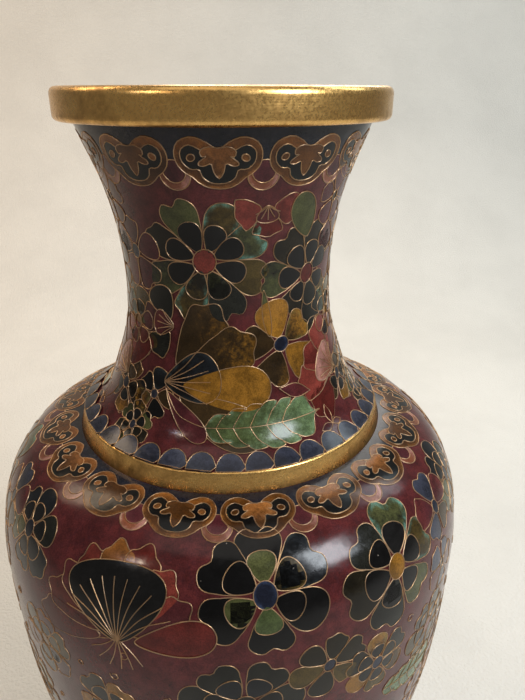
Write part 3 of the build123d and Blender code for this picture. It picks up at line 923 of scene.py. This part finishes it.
def cloud_heads(pattern, count, first, top, scale=1.0, height=1.0):
    """A ring of cloud heads with crescents between them, hung from a line."""
    pitch = 360 / count
    degree = pattern.surface.degree(top + 7)

    def drawn(line, azimuth, finish, layer, **more):
        points = [(azimuth + x * scale / degree, top + y * height) for x, y in line]
        pattern.shape(points, finish, layer, **more)

    for i in range(count):
        azimuth = first + i * pitch
        between = azimuth + pitch / 2
        pattern.oval((between, top + 10.6 * height), 8.8 * scale, 8.6 * height, "rose", 0)
        pattern.oval((between, top + 9.5 * height), 6.6 * scale, 6.6 * height, "plum", 1)
        middle = (azimuth, top + 7.5 * height)
        drawn(both_sides(HEAD_LINE), azimuth, "amber", 2, root=middle, tip=(azimuth, top), count=46)
        drawn(both_sides(TREFOIL_LINE), azimuth, "black", 3, root=middle, tip=(azimuth, top + 3), count=44)
        drawn(both_sides(SPROUT_LINE), azimuth, "sprout", 4, root=(azimuth, top + 11 * height),
              tip=(azimuth, top + 3 * height), count=44)
        for side in (-1, 1):
            place = (azimuth + side * 7.0 * scale / degree, top + 5.6 * height)
            pattern.oval(place, 2.3 * scale, 1.9 * height, "sprout", 4, 30 * side)


def half_rounds(pattern, count, first, top, foot, finish):
    """A row of half rounds that stand on a line."""
    pitch = 360 / count
    mm = pattern.surface.degree(foot)
    for i in range(count):
        azimuth = first + i * pitch
        points = [(azimuth + 0.49 * pitch * math.sin(a), foot - (foot - top) * max(0.0, math.cos(a)) ** 0.75)
                  for a in np.radians(np.arange(-90, 91, 15))]
        pattern.shape(points, finish, 0, root=(azimuth, foot), tip=(azimuth, top),
                      count=max(16, int(pitch * mm)))


# ------------------------------------------------------------------ flowers of the neck
# Places are an azimuth in degrees and a length down the outline in mm; lengths are in mm.
NECK_FLOWERS = (
    # centre, reach, petals, turn, outer, inner, eye
    ((-11, 38.5), 20, 8, 20, "olive moss olive moss", "black", "red"),
    ((43, 45), 17, 7, 10, "olive moss", "black", "red"),
    ((26, 66), 14, 5, 60, "honey", "", "navy"),
    ((-37, 83), 8.5, 5, 20, "ink honey", "", "slate"),
    ((-51, 38), 12, 5, 0, "plum", "", "slate"),
    ((-56, 62), 13, 6, 15, "olive moss", "black", "honey"),
    ((-58, 84), 11, 5, 30, "honey", "ink", "navy"),
    ((-44, 95), 8, 6, 0, "olive moss", "black", "slate"),
    ((56, 22), 9, 5, 0, "plum", "", "honey"),
)
NECK_FANS = (
    # foot, reach, turn, spread, lobes, lobe finishes, heart, the heart's share
    ((17, 22), 10.5, 176, 150, 3, "red", "maroon_cell", 0.5),
    ((-32, 78), 34, 77, 84, 4, "honey", "ink", 0.56),
    ((60, 81), 20, -52, 150, 5, "red", "rose", 0.55),
    ((-29, 60), 13, -84, 110, 3, "moss plum", "maroon_cell", 0.6),
)
NECK_PETALS = (
    # root, tip, width, finish, kind
    ((32, 19), (40, 33), 11, "moss", "point"), ((22, 80), (38, 83.5), 4.5, "maroon_cell", "lens"),
    ((44, 97), (44, 90), 2.6, "maroon_cell", "lens"), ((44, 97), (37, 97.6), 2.6, "maroon_cell", "lens"),
    ((44, 97), (49, 97), 2.4, "maroon_cell", "lens"), ((-30, 81), (-11, 95), 7, "plum", "round"),
    ((20, 63), (17, 48), 3.2, "moss", "point"),
)


def neck_pattern():
    """The neck's flowers, leaf and tendrils; they come three times round."""
    p = Pattern(NECK)
    for row in NECK_FLOWERS:
        p.flower(*row)
    for row in NECK_FANS:
        p.fan(*row)
    for root, tip, width, name, kind in NECK_PETALS:
        p.petal(root, tip, width, name, 1, kind)
    p.fern((-11, 90.6), (40.5, 90.6), 14.6, 6)
    p.line([(-31, 80), (-24, 87), (-17, 89.4), (-11, 90.6)])
    for at in ((6, 62), (34, 77), (-56, 93.5)):
        p.curl(at, 2.0, 90 * at[0])
    return p


# ------------------------------------------------------------------ flowers of the body
BODY_FLOWERS = (
    # centre, reach, petals, turn, outer, inner, eye
    ((5.5, 31), 20, 6, 0, "black ink", "moss olive moss leaf moss olive", "navy"),
    ((35, 36), 20, 6, 20, "moss olive moss", "black", "honey"),
    ((-52, 31), 15, 6, 10, "ink moss ink", "black", "navy"),
    ((1, 67), 19, 6, 30, "moss", "ink", "olive"),
    ((17.5, 58), 12, 6, 15, "olive", "", "slate"),
    ((29, 67), 13, 6, 0, "honey olive", "black", "navy"),
    ((54, 31), 12, 5, 0, "slate maroon_cell honey", "", "navy"),
    ((52, 51), 10, 5, 30, "slate plum", "", "honey"),
    ((-44, 66), 14, 6, 10, "plum olive", "ink", "honey"),
    ((47, 72), 14, 6, 25, "olive", "black", "red"),
    ((-26, 78), 13, 5, 30, "honey", "black", "navy"),
    ((-6, 92), 17, 6, 0, "olive moss", "ink", "red"),
    ((22, 103), 17, 6, 20, "ink", "moss", "navy"),
    ((-56, 98), 18, 7, 0, "moss", "black", "honey"),
    ((-27, 116), 17, 5, 36, "honey", "black", "navy"),
    ((52, 108), 17, 6, 15, "red", "rose", "honey"),
    ((4, 136), 18, 6, 30, "moss olive", "black", "red"),
    ((-54, 142), 18, 6, 0, "red", "plum", "honey"),
    ((38, 148), 17, 5, 10, "honey", "black", "navy"),
    ((-20, 166), 17, 6, 0, "olive", "black", "red"),
    ((17, 180), 15, 6, 20, "moss", "ink", "honey"),
    ((-56, 186), 15, 5, 0, "ink", "moss", "red"),
    ((-32, 206), 13.5, 6, 10, "honey", "black", "navy"),
    ((-2, 212), 12.5, 5, 20, "olive moss", "black", "red"),
    ((46, 196), 14.5, 6, 0, "moss", "black", "honey"),
    ((-58, 228), 9, 5, 0, "red", "rose", "honey"),
    ((24, 222), 11.5, 5, 30, "honey", "black", "navy"),
    ((-22, 234), 8, 5, 10, "olive", "black", "red"),
)
BODY_FANS = (
    # foot, reach, turn, spread, lobes, lobe finishes, heart, the heart's share
    ((-23, 48), 29, -8, 170, 9, "red red plum red amber", "black", 0.80),
    ((34, 122), 17, 200, 120, 5, "amber red", "ink", 0.7),
    ((-38, 184), 15, 160, 120, 5, "red amber", "ink", 0.7),
    ((-8, 190), 12, 0, 110, 5, "plum red", "black", 0.7),
)
BODY_LEAVES = (
    # root, tip, width in mm, lobes on each side
    ((8, 77), (24, 86), 11, 5), ((32, 84), (52, 90), 12, 5), ((-18, 92), (-38, 96), 12, 5),
    ((-42, 118), (-40, 138), 12, 5), ((-10, 108), (-14, 128), 11, 4), ((26, 122), (20, 142), 11, 4),
    ((56, 130), (58, 152), 11, 4), ((-8, 152), (-8, 172), 11, 4), ((-34, 140), (-36, 160), 11, 4),
    ((32, 168), (34, 188), 10, 4), ((56, 168), (62, 182), 9, 4), ((-38, 172), (-42, 190), 9, 4),
    ((8, 194), (12, 208), 9, 4), ((-46, 204), (-48, 220), 8, 3), ((38, 214), (42, 230), 8, 3),
    ((8, 222), (8, 238), 7, 3),
)


def body_pattern():
    """The body's flowers, half-open flowers, leaves and stray curls; they come three times round."""
    p = Pattern(BODY)
    for row in BODY_FLOWERS:
        p.flower(*row)
    for row in BODY_FANS:
        p.fan(*row)
    for way in range(130, 251, 20):
        p.line([(-23, 47), p.spin((-23, 47), 6, way), p.spin((-23, 47), 11, way + 5)], free=True)
    for root, tip, width, lobes in BODY_LEAVES:
        p.fern(root, tip, width, lobes)
    spots = random.Random(11)
    clouds = []
    for _ in range(500):
        x, y, mm = spots.uniform(-60, 60), spots.uniform(24, 240), spots.uniform(1.8, 2.8)
        probe = np.array([p.spin((x, y), mm * 1.2, a) for a in range(0, 360, 45)])
        clear = all(math.hypot((x - c[0]) * 1.3, y - c[1]) > mm + c[2] + 3.5 for c in clouds)
        if clear and not any(inside(probe + [k, 0], c.outline).any()
                             for c in p.cells for k in (-120, 0, 120)):
            clouds.append((x, y, mm, spots.uniform(0, 360)))
    for x, y, mm, turn in clouds:
        p.curl((x, y), mm, turn, 1 if int(x + y) % 2 else -1)
    return p


# ------------------------------------------------------------------ operators
NECK_TURNS, BODY_TURNS, RING_TURNS = 192, 288, 256
NECK_ROWS = stations(NECK, 1.5, 1.05, 76)
BODY_ROWS = stations(BODY, 1.15, 2.6, 46)
FOOT_ROWS = stations(FOOT, 1.2, 1.2, 30)
FINISHES = {}


class VASE_OT_camera(bpy.types.Operator):
    """Set the camera level with the mouth, close by and looking down at the shoulder"""
    bl_idname = "vase.camera"
    bl_label = "Camera"

    def execute(self, context):
        # distances are in mouth radii, so the view keeps its framing if the vase's size changes
        place = (0, -3.787 * RIM_RADIUS, RIM_TOP - 0.021 * RIM_RADIUS)
        bpy.ops.object.camera_add(location=place, rotation=(math.radians(65.64), 0, math.radians(-3.5)))
        camera = named("camera")
        camera.data.lens = 29.55
        camera.data.sensor_width = 36
        camera.data.clip_start = 0.01
        context.scene.camera = camera
        return {"FINISHED"}


class VASE_OT_stage(bpy.types.Operator):
    """Set a pale floor that rises into a backdrop, a window light, a small warm lamp and a pale room"""
    bl_idname = "vase.stage"
    bl_label = "Stage"

    def execute(self, context):
        bpy.ops.object.select_all(action="DESELECT")
        bpy.ops.mesh.primitive_plane_add(size=1)
        floor = named("floor")
        bpy.ops.object.mode_set(mode="EDIT")
        bpy.ops.mesh.select_all(action="SELECT")
        bpy.ops.transform.resize(value=(5.0, 2.6, 1))
        bpy.ops.transform.translate(value=(0, -0.7, 0))
        bpy.ops.mesh.select_mode(type="VERT")
        bpy.ops.mesh.select_all(action="DESELECT")
        bpy.ops.object.mode_set(mode="OBJECT")
        for v in floor.data.vertices:
            v.select = v.co.y > 0
        bpy.ops.object.mode_set(mode="EDIT")
        bpy.ops.mesh.select_mode(type="EDGE")
        for k in range(12):
            slope = math.radians(7.5 * (k + 0.5))
            bpy.ops.mesh.extrude_edges_move(TRANSFORM_OT_translate={
                "value": (0, 0.085 * math.cos(slope), 0.085 * math.sin(slope))})
        bpy.ops.mesh.extrude_edges_move(TRANSFORM_OT_translate={"value": (0, 0, 2.4)})
        bpy.ops.mesh.select_all(action="SELECT")
        bpy.ops.mesh.normals_make_consistent(inside=False)
        bpy.ops.object.mode_set(mode="OBJECT")
        bpy.ops.object.shade_smooth()
        m = bpy.data.materials.new("pale_plaster")
        m.use_nodes = True
        n = Nodes(m.node_tree)
        place = n.add("ShaderNodeTexCoord").outputs["Object"]
        tint = n.noise(place, 7.0, 4.0)
        pale = rgba(context.scene.vase_colours.floor)
        shade = n.mix(n.spread(tint, 0.3, 0.7), pale, tuple(0.93 * x for x in pale[:3]) + (1,))
        n.link(shade, m.node_tree.nodes["Principled BSDF"].inputs["Base Color"])
        m.node_tree.nodes["Principled BSDF"].inputs["Roughness"].default_value = 0.9
        relief = n.add("ShaderNodeBump")
        relief.inputs["Distance"].default_value = 0.001
        n.link(n.noise(place, 420.0, 3.0), relief.inputs["Height"])
        n.link(relief.outputs["Normal"], m.node_tree.nodes["Principled BSDF"].inputs["Normal"])
        floor.data.materials.append(m)

        def lamp(name, azimuth, elevation, distance, across, down, watts, tint, target=None):
            a, e = math.radians(azimuth), math.radians(elevation)
            way = Vector((math.sin(a) * math.cos(e), -math.cos(a) * math.cos(e), math.sin(e)))
            stand = Vector((0, 0, 0.3)) + way * distance
            bpy.ops.object.light_add(type="AREA", location=stand)
            light = named(name)
            if target:
                way = stand - Vector(target)
            light.rotation_euler = way.to_track_quat("Z", "Y").to_euler()
            light.data.shape = "RECTANGLE"
            light.data.size, light.data.size_y = across, down
            light.data.energy = watts
            light.data.color = tint

        lamp("window", 46, 33, 1.25, 0.42, 0.50, 17.0, (0.88, 0.94, 1.0))
        lamp("ceiling", -20, 76, 1.6, 1.3, 1.3, 5.0, (1.0, 0.94, 0.86))
        lamp("warm_lamp", -47, 32, 1.2, 0.05, 0.05, 1.2, (1.0, 0.80, 0.60))
        lamp("cold_lamp", -51, 30, 1.2, 0.03, 0.03, 0.4, (0.55, 0.70, 1.0))
        lamp("left_wash", -118, 42, 1.0, 0.5, 0.5, 6.0, (1.0, 0.78, 0.56), (-0.5, 1.0, 0.2))
        lamp("right_wash", 112, 42, 1.0, 0.5, 0.5, 5.0, (0.82, 0.95, 1.0), (0.5, 1.0, 0.2))
        lamp("back_fill", 168, 40, 0.95, 0.6, 0.6, 5.0, (1.0, 0.95, 0.88))
        world = bpy.data.worlds.new("pale_room")
        context.scene.world = world
        world.use_nodes = True
        world.node_tree.nodes["Background"].inputs[0].default_value = (0.92, 0.88, 0.82, 1)
        world.node_tree.nodes["Background"].inputs[1].default_value = 0.20
        context.scene.view_settings.view_transform = "Standard"
        return {"FINISHED"}


class VASE_OT_metalwork(bpy.types.Operator):
    """Turn the gilt mouth ring, neck ring and foot ring"""
    bl_idname = "vase.metalwork"
    bl_label = "Gilt rings"

    def execute(self, context):
        sizes = context.scene.vase_sizes
        r = sizes.rim_round / MM
        low, high = RIM_LOW.z / MM, RIM_TOP / MM
        wide = RIM_RADIUS / MM
        mouth = rounded([(wide, low, 1.2 * r), (wide, high, 1.5 * r), (44.2, high, 1.3 * r),
                         (43.7, high - 3.5, 2), (44.4, low + 0.2, 0.4), (46.4, low, 0.3)], r, 8)
        hand_in(turned("mouth_ring", mouth, RING_TURNS), "gilt", FINISHES["gilt"], "rim_ring")
        box_low, box_high = (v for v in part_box("neck_ring"))
        top, foot, out = box_high.z / MM, box_low.z / MM, box_high.x / MM
        collar = rounded([(out - 0.3, foot, 0.8), (out, foot + 1.8, 0.9), (54.6, top, 1.1), (52.9, top, 0.5),
                          (52.9, foot, 0.3)], 1.0, 7)
        hand_in(turned("neck_collar", collar, RING_TURNS), "gilt", FINISHES["gilt"], "neck_ring")
        box_low, box_high = (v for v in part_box("foot_ring"))
        out, top = box_high.x / MM, box_high.z / MM
        foot = rounded([(out - 0.4, 0, 0.9), (out, 1.6, 1.0), (out - 0.1, top - 0.8, 1.2),
                        (out - 1.0, top, 0.6), (46.1, top, 0.3), (46.1, 0, 0.8)], 1.0, 7)
        hand_in(turned("foot_band", foot, RING_TURNS), "gilt", FINISHES["gilt"], "foot_ring")
        return {"FINISHED"}


class VASE_OT_grounds(bpy.types.Operator):
    """Turn the maroon ground enamels and finish the copper and the counter-enamel"""
    bl_idname = "vase.grounds"
    bl_label = "Grounds"

    def execute(self, context):
        depth = 0.5
        hand_in(skin("neck_maroon", NECK, NECK_ROWS, NECK_TURNS, -0.04, depth), "maroon_enamel",
                FINISHES["maroon"], "neck_ground_enamel")
        hand_in(skin("body_maroon", BODY, BODY_ROWS, BODY_TURNS, -0.04, depth), "maroon_enamel",
                FINISHES["maroon"], "body_ground_enamel")
        hand_in(skin("foot_maroon", FOOT, FOOT_ROWS, NECK_TURNS, -0.04, depth), "maroon_enamel",
                FINISHES["maroon"], "foot_ground_enamel")
        rows = stations(NECK, 1.5, 1.5, 76, 0.1, 8.6)
        hand_in(skin("neck_border_strip", NECK, rows, NECK_TURNS, -0.02, 0.4),
                "slate_enamel", FINISHES["strip"], "neck_border_ground")
        rows = stations(BODY, 1.15, 2.6, 46, 0.1, 8.2)
        hand_in(skin("shoulder_border_strip", BODY, rows, BODY_TURNS, -0.02, 0.4),
                "slate_enamel", FINISHES["strip"], "shoulder_border_ground")
        rows = stations(NECK, 1.5, 1.05, 76, 97.0, 104.3)
        hand_in(skin("collar_strip", NECK, rows, NECK_TURNS, -0.02, 0.4),
                "maroon_enamel", FINISHES["maroon"], "scallop_ground")
        for node in ("neck_shell", "shoulder_shell", "lower_body_shell", "foot_shell", "base_plate"):
            finish(node, "copper", "copper")
        for node in ("neck_lining", "shoulder_lining", "lower_body_lining", "base_enamel"):
            finish(node, "lining", "counter_enamel")
        return {"FINISHED"}


def finish(node, material, slot):
    """Gives a frame node its own procedural finish."""
    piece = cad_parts[node]
    piece.data.materials.clear()
    piece.data.materials.append(FINISHES[material])


def lay(prefix, pattern, steps, rows, slots, nodes, wire_node, repeats=3, period=120.0):
    """Lays every cell and wire of a pattern; nodes tells which frame nodes a finish stands for."""
    wires = stack(pattern, period if repeats > 1 else 360.0)
    for name in sorted({c.finish for c in pattern.cells}):
        slot = slots.get(name, "petal_enamel")
        material = FINISHES[name]
        hand_in(enamel(f"{prefix}_{name}", pattern, name, steps, rows, repeats, period), slot, material,
                *nodes.get(name, ()))
    hand_in(wiring(f"{prefix}_wires", pattern.surface, wires, repeats, period), "wire", FINISHES["wire"],
            wire_node)


SLOTS = {"amber": "amber_enamel", "sprout": "amber_enamel", "honey": "amber_enamel",
         "black": "dark_green_enamel", "ink": "dark_green_enamel", "olive": "dark_green_enamel",
         "moss": "dark_green_enamel",
         "navy": "slate_enamel", "slate": "slate_enamel", "red": "red_enamel", "rose": "red_enamel",
         "plum": "maroon_enamel", "maroon_cell": "maroon_enamel"}


class VASE_OT_neck_border(bpy.types.Operator):
    """Lay the cloud heads under the mouth ring and the half rounds above the neck ring"""
    bl_idname = "vase.neck_border"
    bl_label = "Neck borders"

    def execute(self, context):
        heads = Pattern(NECK)
        cloud_heads(heads, 11, -2.5, 2.5)
        lay("neck_head", heads, NECK_TURNS, NECK_ROWS, SLOTS,
            {"amber": ("neck_border_bands",), "black": ("neck_border_hearts",)}, "neck_border_wires", 1)
        rounds = Pattern(NECK)
        half_rounds(rounds, 37, -1.0, 98.2, NECK.length - 0.1, "slate")
        lay("collar_round", rounds, NECK_TURNS, NECK_ROWS, SLOTS, {"slate": ("scallop_enamel",)},
            "scallop_wires", 1)
        return {"FINISHED"}


class VASE_OT_shoulder_border(bpy.types.Operator):
    """Lay the cloud heads under the neck ring"""
    bl_idname = "vase.shoulder_border"
    bl_label = "Shoulder border"

    def execute(self, context):
        heads = Pattern(BODY)
        cloud_heads(heads, 17, 6.3, 1.6)
        lay("shoulder_head", heads, BODY_TURNS, BODY_ROWS, SLOTS,
            {"amber": ("shoulder_border_bands",), "black": ("shoulder_border_hearts",)},
            "shoulder_border_wires", 1)
        return {"FINISHED"}


class VASE_OT_neck_flowers(bpy.types.Operator):
    """Lay the neck's flowers"""
    bl_idname = "vase.neck_flowers"
    bl_label = "Neck flowers"

    def execute(self, context):
        p = neck_pattern()
        lay("neck", p, NECK_TURNS, NECK_ROWS, SLOTS,
            {"olive": ("neck_blossom_petals",), "red": ("neck_blossom_centres",)}, "neck_blossom_wires")
        return {"FINISHED"}


class VASE_OT_body_flowers(bpy.types.Operator):
    """Lay the body's flowers"""
    bl_idname = "vase.body_flowers"
    bl_label = "Body flowers"

    def execute(self, context):
        p = body_pattern()
        lay("body", p, BODY_TURNS, BODY_ROWS, SLOTS,
            {"olive": ("body_blossom_petals",), "navy": ("body_blossom_centres",)}, "body_blossom_wires")
        return {"FINISHED"}


class VASE_OT_foot_border(bpy.types.Operator):
    """Lay the half rounds above the foot ring"""
    bl_idname = "vase.foot_border"
    bl_label = "Foot border"

    def execute(self, context):
        rounds = Pattern(FOOT)
        half_rounds(rounds, 40, 0.0, FOOT.length - 7.5, FOOT.length - 0.6, "slate")
        lay("foot_round", rounds, NECK_TURNS, FOOT_ROWS, SLOTS, {"slate": ("foot_scallop_enamel",)},
            "foot_scallop_wires", 1)
        return {"FINISHED"}


class VASE_PT_panel(bpy.types.Panel):
    """The vase's values and the steps that build it"""
    bl_idname = "VASE_PT_panel"
    bl_label = "Vase"
    bl_space_type = "VIEW_3D"
    bl_region_type = "UI"
    bl_category = "Vase"

    def draw(self, context):
        for values in (context.scene.vase_sizes, context.scene.vase_colours):
            column = self.layout.column()
            for key in values.bl_rna.properties.keys():
                if key not in ("rna_type", "name"):
                    column.prop(values, key)
        for step in STEPS:
            self.layout.operator("vase." + step)


STEPS = ("camera", "stage", "metalwork", "grounds", "neck_border", "shoulder_border", "neck_flowers",
         "body_flowers", "foot_border")
CLASSES = (VaseSizes, VaseColours, VASE_OT_camera, VASE_OT_stage, VASE_OT_metalwork, VASE_OT_grounds,
           VASE_OT_neck_border, VASE_OT_shoulder_border, VASE_OT_neck_flowers, VASE_OT_body_flowers,
           VASE_OT_foot_border, VASE_PT_panel)


def register():
    for c in CLASSES:
        bpy.utils.register_class(c)
    bpy.types.Scene.vase_sizes = bpy.props.PointerProperty(type=VaseSizes)
    bpy.types.Scene.vase_colours = bpy.props.PointerProperty(type=VaseColours)


def unregister():
    del bpy.types.Scene.vase_sizes
    del bpy.types.Scene.vase_colours
    for c in reversed(CLASSES):
        bpy.utils.unregister_class(c)


def main():
    """Builds the vase and its stage."""
    register()
    FINISHES.update(make_finishes())
    for step in STEPS:
        getattr(bpy.ops.vase, step)()


if __name__ == "__main__":
    main()
